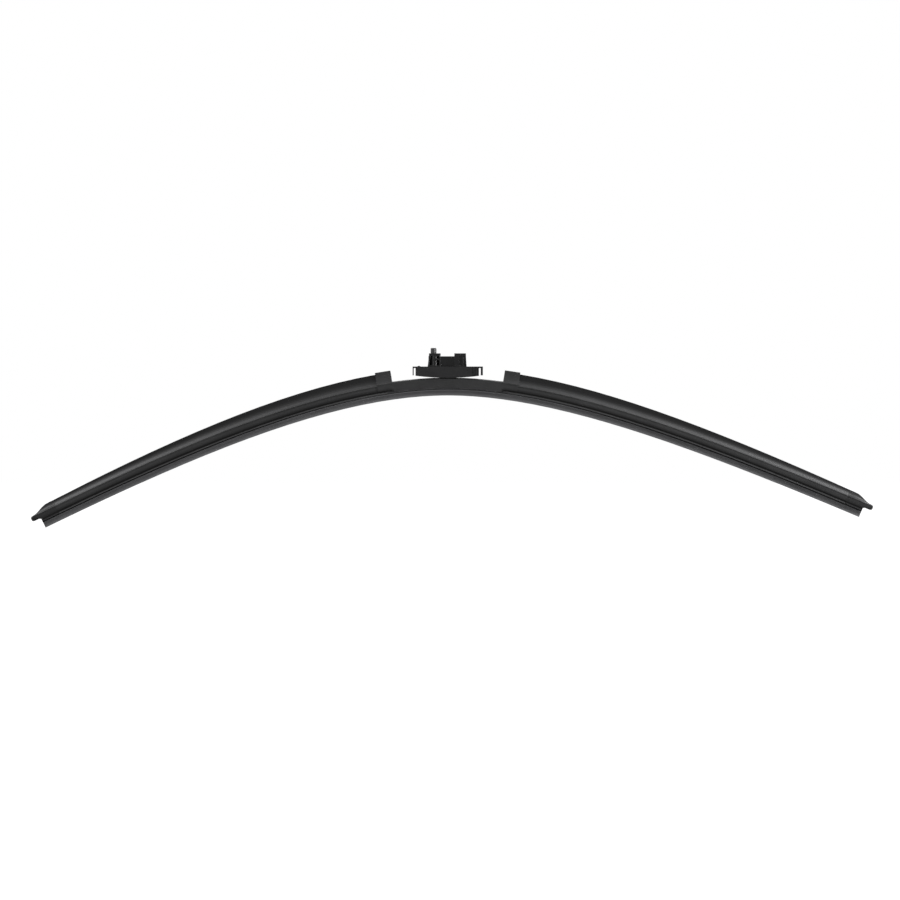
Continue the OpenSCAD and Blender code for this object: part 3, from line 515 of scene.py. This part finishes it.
def graphite_rubber(name):
    """Black rubber whose lip is dusted grey, with a painted light on the neck near the middle."""
    finish = Finish(name, IOR=PLAIN_IOR, Specular_IOR_Level=RUBBER_SHINE)
    height = finish.stored("height")
    along = finish.stored("along")
    across = depth_of(finish)
    lines = drawn(finish, across, DIE_SIZE, detail=3.0, roughness=0.6)
    powder = finish.noise(finish.place(), POWDER_SIZE, detail=3.0, roughness=0.7)
    patches = finish.noise(finish.stretch(along * PATCH_STRETCH, height, across), PATCH_SIZE)
    ends = abs(along).between(*RUBBER_ENDS)
    lip = 1 - (height + ends * LIP_DROP).between(LIP_TOP - LIP_BLUR, LIP_TOP + LIP_BLUR)
    edge = 1 - height.between(*EDGE_GREY)
    # painted light: near the middle the neck is made paler where the flange shades it
    neck_light = height.between(*NECK_LIGHT) * (1 - ends)
    cover = (
        COVER_PLAIN + patches.between(*PATCHES) * COVER_PATCHES
        + edge * COVER_EDGE + neck_light * NECK_LIGHT_SHARE)
    graphite_and_neck_light = lip * cover * (POWDER_PLAIN + powder * POWDER_SHARE)
    finish.feed(
        Base_Color=finish.colour(graphite_and_neck_light, RUBBER_BLACK, GRAPHITE_GREY),
        Roughness=RUBBER_ROUGH + lip * ROUGH_LIP + (powder - MEAN) * ROUGH_POWDER)
    relief(finish, lines * DIE_RELIEF + powder * POWDER_RELIEF, RUBBER_DEPTH, RUBBER_EDGE)
    return finish.material


rubber = graphite_rubber("graphite rubber")
print("graphite reaches", LIP_TOP, "mm up the rubber")

# %% [markdown]
# ## Coated steel
# The two rails are spring strip with a black phosphate coat that has rubbed thin, and the
# bracket is pressed from sheet and coated dark. A mask decides how metallic the surface
# is, so that the coat stays dull where it is whole and the bare steel shines through where
# it is worn, first of all on the edges. Rolling lines run along the rails.

# %% Coated strip and sheet
ROLL_SIZE, SHEET_SIZE, WORN_SIZE = 0.12, 0.3, 3.5  # millimetres
WORN_CLOUDS, WORN_LINES, WORN_EDGES = 0.7, 0.3, 0.25
WORN_RISE = 0.08
COAT_METAL, ROUGH_BARE, ROUGH_ROLLED = 0.25, -0.15, 0.15
COAT_DEPTH, COAT_EDGE = 0.006 * mm, 0.06 * mm


def coated_steel(name, coat, bare, worn, rough, rolled):
    """Dark coated steel that shows bare metal where noise says it is worn."""
    finish = Finish(name, IOR=PLAIN_IOR)
    if rolled:
        lines = drawn(finish, depth_of(finish), ROLL_SIZE, detail=3.0, roughness=0.6)
    else:
        lines = finish.noise(finish.place(), SHEET_SIZE, detail=3.0, roughness=0.6)
    clouds = finish.noise(finish.place(), WORN_SIZE, detail=4.0, roughness=0.65)
    edges = relief(finish, lines, COAT_DEPTH, COAT_EDGE)
    bright = (clouds * WORN_CLOUDS + lines * WORN_LINES + edges * WORN_EDGES).between(
        1 - worn, 1 + WORN_RISE - worn)
    finish.feed(
        Base_Color=finish.colour(bright, coat, bare),
        Metallic=COAT_METAL + bright * (1 - COAT_METAL),
        Roughness=rough + bright * ROUGH_BARE + (lines - MEAN) * ROUGH_ROLLED)
    return finish.material


rail_steel = coated_steel(
    "rail steel", coat=(0.035, 0.036, 0.038), bare=(0.42, 0.42, 0.43), worn=0.40, rough=0.50,
    rolled=True)
bracket_steel = coated_steel(
    "bracket steel", coat=(0.05, 0.05, 0.052), bare=(0.45, 0.45, 0.44), worn=0.36, rough=0.45,
    rolled=False)
print("coated steel: rails and bracket")

# %% [markdown]
# ## Bare steel
# The pin is turned and the coil is drawn through a die, so both are bare and bright, with
# very fine rings or lines and a little stain. The same squeezed noise as on the spoiler
# draws them, only the squeeze is on two axes here, and the metal is full metal.

# %% Turned and drawn steel
RING_SQUEEZE = (0.15, 1.0, 0.15)
STAIN_SIZE, STAIN, STAIN_DARK = 1.6, (0.45, 0.75), 0.72
ROUGH_STAIN, ROUGH_RINGS = 0.12, 0.18
RING_DEPTH, RING_EDGE = 0.004 * mm, 0.05 * mm


def bare_steel(name, shade, rough, ring):
    """Bare steel with fine rings or drawing lines of a width in millimetres."""
    finish = Finish(name, Metallic=1.0)
    here = finish.place()
    apart = finish.node("VectorMath", {"operation": "MULTIPLY"}, {0: here, 1: RING_SQUEEZE})
    rings = finish.noise(apart, ring, detail=3.0, roughness=0.7)
    stain = finish.noise(here, STAIN_SIZE, detail=3.0).between(*STAIN)
    finish.feed(
        Base_Color=finish.colour(stain, shade, tuple(c * STAIN_DARK for c in shade)),
        Roughness=rough + stain * ROUGH_STAIN + (rings - MEAN) * ROUGH_RINGS)
    relief(finish, rings, RING_DEPTH, RING_EDGE)
    return finish.material


pin_steel = bare_steel("pin steel", shade=(0.56, 0.56, 0.55), rough=0.28, ring=0.12)
spring_steel = bare_steel("spring steel", shade=(0.6, 0.6, 0.6), rough=0.25, ring=0.2)
print("bare steel: pin and coil")

# %% [markdown]
# ## Dress the pieces
# Each CAD piece takes the finish of its material. Its mesh is left alone. A modifier
# joins the face corners that CAD keeps apart and lets the shading run smoothly over
# shallow angles, so the arch and the flare of the spoiler look curved, while every edge
# sharper than the limit stays crisp.

# %% Smooth shading that keeps the edges
SHARP = math.radians(24)
JOIN = 0.0005 * mm


def soft_shading():
    """A Geometry Nodes group: join, drop the stored normals, and smooth shallow edges."""
    group = bpy.data.node_groups.new("soft shading", "GeometryNodeTree")
    group.interface.new_socket("Geometry", in_out="INPUT", socket_type="NodeSocketGeometry")
    group.interface.new_socket("Geometry", in_out="OUTPUT", socket_type="NodeSocketGeometry")
    add, link = group.nodes.new, group.links.new
    start, end = add("NodeGroupInput"), add("NodeGroupOutput")
    join = add("GeometryNodeMergeByDistance")
    join.inputs["Distance"].default_value = JOIN
    drop = add("GeometryNodeRemoveAttribute")
    drop.inputs["Name"].default_value = "custom_normal"
    faces = add("GeometryNodeSetShadeSmooth")
    faces.inputs["Shade Smooth"].default_value = True
    edges = add("GeometryNodeSetShadeSmooth")
    edges.domain = "EDGE"
    edges.inputs["Shade Smooth"].default_value = False
    angle = add("GeometryNodeInputMeshEdgeAngle")
    steep = add("FunctionNodeCompare")
    steep.inputs[1].default_value = SHARP
    link(angle.outputs["Unsigned Angle"], steep.inputs[0])
    link(steep.outputs[0], edges.inputs["Selection"])
    chain = [start, join, drop, faces, edges, end]
    for before, after in zip(chain, chain[1:]):
        link(before.outputs[0], after.inputs[0])
    return group


shading = soft_shading()
print("edges above", round(math.degrees(SHARP)), "degrees stay sharp")

# %% [markdown]
# A table says which finish goes on which piece. It reads like a parts list, and a loop
# over it can't forget a piece the way a long row of separate calls can.

# %% Finish and shading for every piece
FINISHES = {
    "wiping_rubber": rubber,
    "spring_rail_front": rail_steel,
    "spring_rail_rear": rail_steel,
    "spoiler_left": spoiler_plastic,
    "spoiler_right": spoiler_plastic,
    "end_cap_left": cap_plastic,
    "end_cap_right": cap_plastic,
    "holder_bracket": bracket_steel,
    "centre_cover": cover_plastic,
    "pivot_pin": pin_steel,
    "adaptor_cradle": cradle_plastic,
    "arm_connector": connector_plastic,
    "lock_button": button_plastic,
    "button_spring": spring_steel,
}


def dress(piece, material):
    """Gives a piece its material and its smooth shading."""
    piece.data.materials.clear()
    piece.data.materials.append(material)
    modifier = piece.modifiers.new("soft shading", "NODES")
    modifier.node_group = shading


for name, material in FINISHES.items():
    dress(nodes[name], material)
print("dressed", len(FINISHES), "pieces")

# %% [markdown]
# ## The coil under the button
# The button stands on a small compression spring. A rigid coil would be cut through by the button
# when it is pressed, so the coil is made here as one mesh of its own, which could be squashed. A
# real spring of this kind has closed ends, where the last turn lies flat on the one before, so
# the rise of the helix starts and stops gently instead of running at one pitch.

# %% The line of the coil
WIRE = 0.22 * mm  # radius of the wire
TURNS = 6
STEPS = 24  # places along one turn
GENTLE = 0.16  # share of the coil at each end over which the rise builds up
SLOWEST = 0.3  # the pace of the rise at the very ends, where 1 is the full pace


def coil_line(low, high, radius, centre):
    """Points on a helix with closed ends, between two heights, and the turn at each."""
    share = np.linspace(0, 1, TURNS * STEPS + 1)
    pace = np.clip(np.minimum(share, 1 - share) / GENTLE, SLOWEST, 1)
    rise = np.r_[0, np.cumsum((pace[1:] + pace[:-1]) / 2)]
    turn = share * TURNS * math.tau
    z = low + WIRE + (high - low - 2 * WIRE) * rise / rise[-1]
    return np.c_[centre[0] + radius * np.cos(turn), centre[1] + radius * np.sin(turn), z], turn


coil_low, coil_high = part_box("button_spring")
coil_length = coil_high[2] - coil_low[2]
coil_centre = ((coil_low[0] + coil_high[0]) / 2, (coil_low[1] + coil_high[1]) / 2)
coil_radius = (coil_high[1] - coil_low[1]) / 2 - WIRE
line, turn = coil_line(coil_low[2], coil_high[2], coil_radius, coil_centre)
print("coil:", round(coil_length / mm, 1), "mm long,", TURNS, "turns,", len(line), "points")

# %% [markdown]
# Wire is a circle that is carried along the line. A curve with a bevel depth could do it
# too, but a plain mesh has no surprises when it is squashed or exported: a ring of corners
# stands at each point, side faces join the rings, and one face closes each end.

# %% The wire round the line
AROUND = 10  # corners round the wire


def wire_mesh(name, line, turn):
    """A tube of wire along a line of points that runs round an upright axis."""
    angles = np.arange(AROUND) * math.tau / AROUND
    outwards = np.c_[np.cos(turn), np.sin(turn), np.zeros(len(turn))]
    upwards = np.array([0, 0, 1.0])
    rings = [point + WIRE * (np.cos(angle) * outward + np.sin(angle) * upwards)
             for point, outward in zip(line, outwards) for angle in angles]
    faces = []
    for low in range(0, (len(line) - 1) * AROUND, AROUND):
        high = low + AROUND
        for j in range(AROUND):
            k = (j + 1) % AROUND
            faces.append((low + j, low + k, high + k, high + j))
    faces.append(tuple(range(AROUND - 1, -1, -1)))
    faces.append(tuple(range(high, high + AROUND)))
    mesh = bpy.data.meshes.new(name)
    mesh.from_pydata([tuple(corner) for corner in rings], [], faces)
    mesh.update()
    return mesh


coil = bpy.data.objects.new("button_coil", wire_mesh("button_coil", line, turn))
coil.data.shade_smooth()
coil.data.materials.append(spring_steel)
bpy.context.scene.collection.objects.link(coil)
print("wire:", len(coil.data.polygons), "faces")

# %% [markdown]
# The coil stands for the CAD spring and stays with the adaptor. The share of its length that the
# button's travel would leave it is worked out below.

# %% The coil takes the place of the CAD spring
joints = {joint["name"]: joint for joint in frame["record"]["behaviour"]["joints"]}
press = joints["lock_press"]["range_m"][1]
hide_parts("button_spring")
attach(coil, "adaptor")
1 - press / coil_length
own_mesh(coil)
print("pressed, the coil keeps", round(1 - press / coil_length, 2), "of its length")

# %% [markdown]
# ## The camera
# The photograph is taken square to the side of the blade from far away, so a long lens
# stands well back and level. The blade sits a little to the left and well above the middle
# of the picture, so the whole camera is moved down and to the right. Tilting it instead
# would foreshorten the arch.

# %% Camera
FRAME_WIDTH = 682.0 * mm  # what the picture spans at the blade
LENS = 400.0
SENSOR = 36.0
FROM_MIDDLE = Vector((1.71 * mm, 0, -41.3 * mm))  # from the edge's middle to the picture's
LEVEL = math.radians(90)
CLIP_END = 100

distance = FRAME_WIDTH * LENS / SENSOR
edge_middle = Vector((0, 0, np.interp(0, line_x, line_z)))
camera = bpy.data.objects.new("camera", bpy.data.cameras.new("camera"))
camera.data.lens = LENS
camera.data.sensor_width = SENSOR
camera.data.clip_end = CLIP_END
camera.location = edge_middle + FROM_MIDDLE - Vector((0, distance, 0))
camera.rotation_euler = (LEVEL, 0, 0)
bpy.context.scene.collection.objects.link(camera)
bpy.context.scene.camera = camera
print("camera is", round(distance, 2), "m away")

# %% [markdown]
# ## The studio
# The background of the photograph is pure white, yet the blade isn't flooded with light.
# Both hold if the white is only what the camera sees and what gloss mirrors: Light Path
# tells those rays from the ones that light the object.

# %% World
SKY = 0.33  # strength of the world for the rays that light the object
WHITE = (1, 1, 1, 1)
WHITE_FOR = ("Is Camera Ray", "Is Glossy Ray", "Is Transmission Ray")


def white_rays(graph):
    """1 for a ray that should find plain white, 0 for one that lights the object."""
    return sum(graph.node("LightPath", output=kind) for kind in WHITE_FOR).between(0, 1)


world = bpy.data.worlds.new("studio")
world.use_nodes = True
sky = Graph(world.node_tree)
background = sky.tree.nodes["Background"]
background.inputs["Color"].default_value = WHITE
plug(sky.tree, background.inputs["Strength"], white_rays(sky) * (1 - SKY) + SKY)
bpy.context.scene.world = world
print("the world gives", SKY, "of the light that it shows")

# %% [markdown]
# The floor mixes the same white with its own shaded surface, less white near the blade
# than far away, so it still carries the blade's soft shadow. It lies just below the reach
# of the tips, so that a blade that is swung to its limit doesn't dip into it.

# %% Floor
FLOOR_GREY = (0.6, 0.6, 0.6, 1)
FLOOR_ROUGH = 0.9
FLOOR_HALF = 30.0  # metres
PAPER_WHITE = 1.14
NEAR_WHITE = 0.42  # share of plain white under the blade, where the shadow has to show
NEAR_TO_FAR = (200.0, 1200.0)  # millimetres from the adaptor


def floor_finish():
    """Pale paper that the camera sees as white, with the shadow left in."""
    finish = Finish("floor paper", Base_Color=FLOOR_GREY, Roughness=FLOOR_ROUGH)
    white = finish.node("Emission", {}, {"Strength": PAPER_WHITE})
    away = finish.node(
        "VectorMath", {"operation": "LENGTH"}, {0: finish.place()}, output="Value")
    share = NEAR_WHITE + away.between(*NEAR_TO_FAR) * (1 - NEAR_WHITE)
    surface = Signal(finish.tree, finish.shader.outputs[0])
    mixed = finish.node("MixShader", {}, {0: white_rays(finish) * share, 1: surface, 2: white})
    plug(finish.tree, finish.tree.nodes["Material Output"].inputs["Surface"], mixed)
    return finish.material


swing = math.radians(joints["blade_swing"]["range_deg"][1])
floor_z = cad_box[0].z - cad_box[1].x * math.sin(swing)
floor_corners = [
    (x * FLOOR_HALF, y * FLOOR_HALF, floor_z) for x, y in ((-1, -1), (1, -1), (1, 1), (-1, 1))]
floor_mesh = bpy.data.meshes.new("floor")
floor_mesh.from_pydata(floor_corners, [], [(0, 1, 2, 3)])
floor = bpy.data.objects.new("floor", floor_mesh)
floor.data.materials.append(floor_finish())
bpy.context.scene.collection.objects.link(floor)
print("floor at", round(floor_z / mm, 1), "mm, below the reach of a swung blade")

# %% [markdown]
# ## Lamps
# The bright band low in the spoiler's hollow says where the light comes from: that band
# faces up and forward, and it is brightest where the arch leans outwards. So a soft box
# hangs over each arm of the blade, not over its middle. A weaker box high in front, to the
# left, opens up the side faces. The thin bright line on the round button is a narrow strip
# box at the right, mirrored where the button faces halfway between it and the camera. A
# low box behind draws the back.

# %% Soft boxes
LAMPS = {  # where each lamp is and its size, in metres, and its power in watts
    "left overhead box": ((-1.3, 0.3, 1.0), (1.2, 0.9), 23),
    "right overhead box": ((1.3, 0.3, 1.0), (1.2, 0.9), 28),
    "front box": ((-0.5, -1.4, 1.7), (1.6, 1.0), 6),
    "strip box": ((1.3, -0.75, 0.1), (0.14, 0.8), 11),
    "rear box": ((0.6, 2.0, 0.5), (1.6, 0.8), 10),
}


def soft_box(name, place, aim, size, power):
    """An area lamp that looks at a point."""
    lamp = bpy.data.lights.new(name, "AREA")
    lamp.shape = "RECTANGLE"
    lamp.size, lamp.size_y = size
    lamp.energy = power
    holder = bpy.data.objects.new(name, lamp)
    holder.location = place
    holder.rotation_euler = (aim - Vector(place)).to_track_quat("-Z", "Y").to_euler()
    bpy.context.scene.collection.objects.link(holder)
    print(name, "gives", power, "W")


middle = (cad_box[0] + cad_box[1]) / 2
for name, (place, size, power) in LAMPS.items():
    soft_box(name, place, middle, size, power)

# %% [markdown]
# ## Finish
# The picture keeps plain colours, so the view transform is Standard.

# %% Colours and the end
bpy.context.scene.view_settings.view_transform = "Standard"
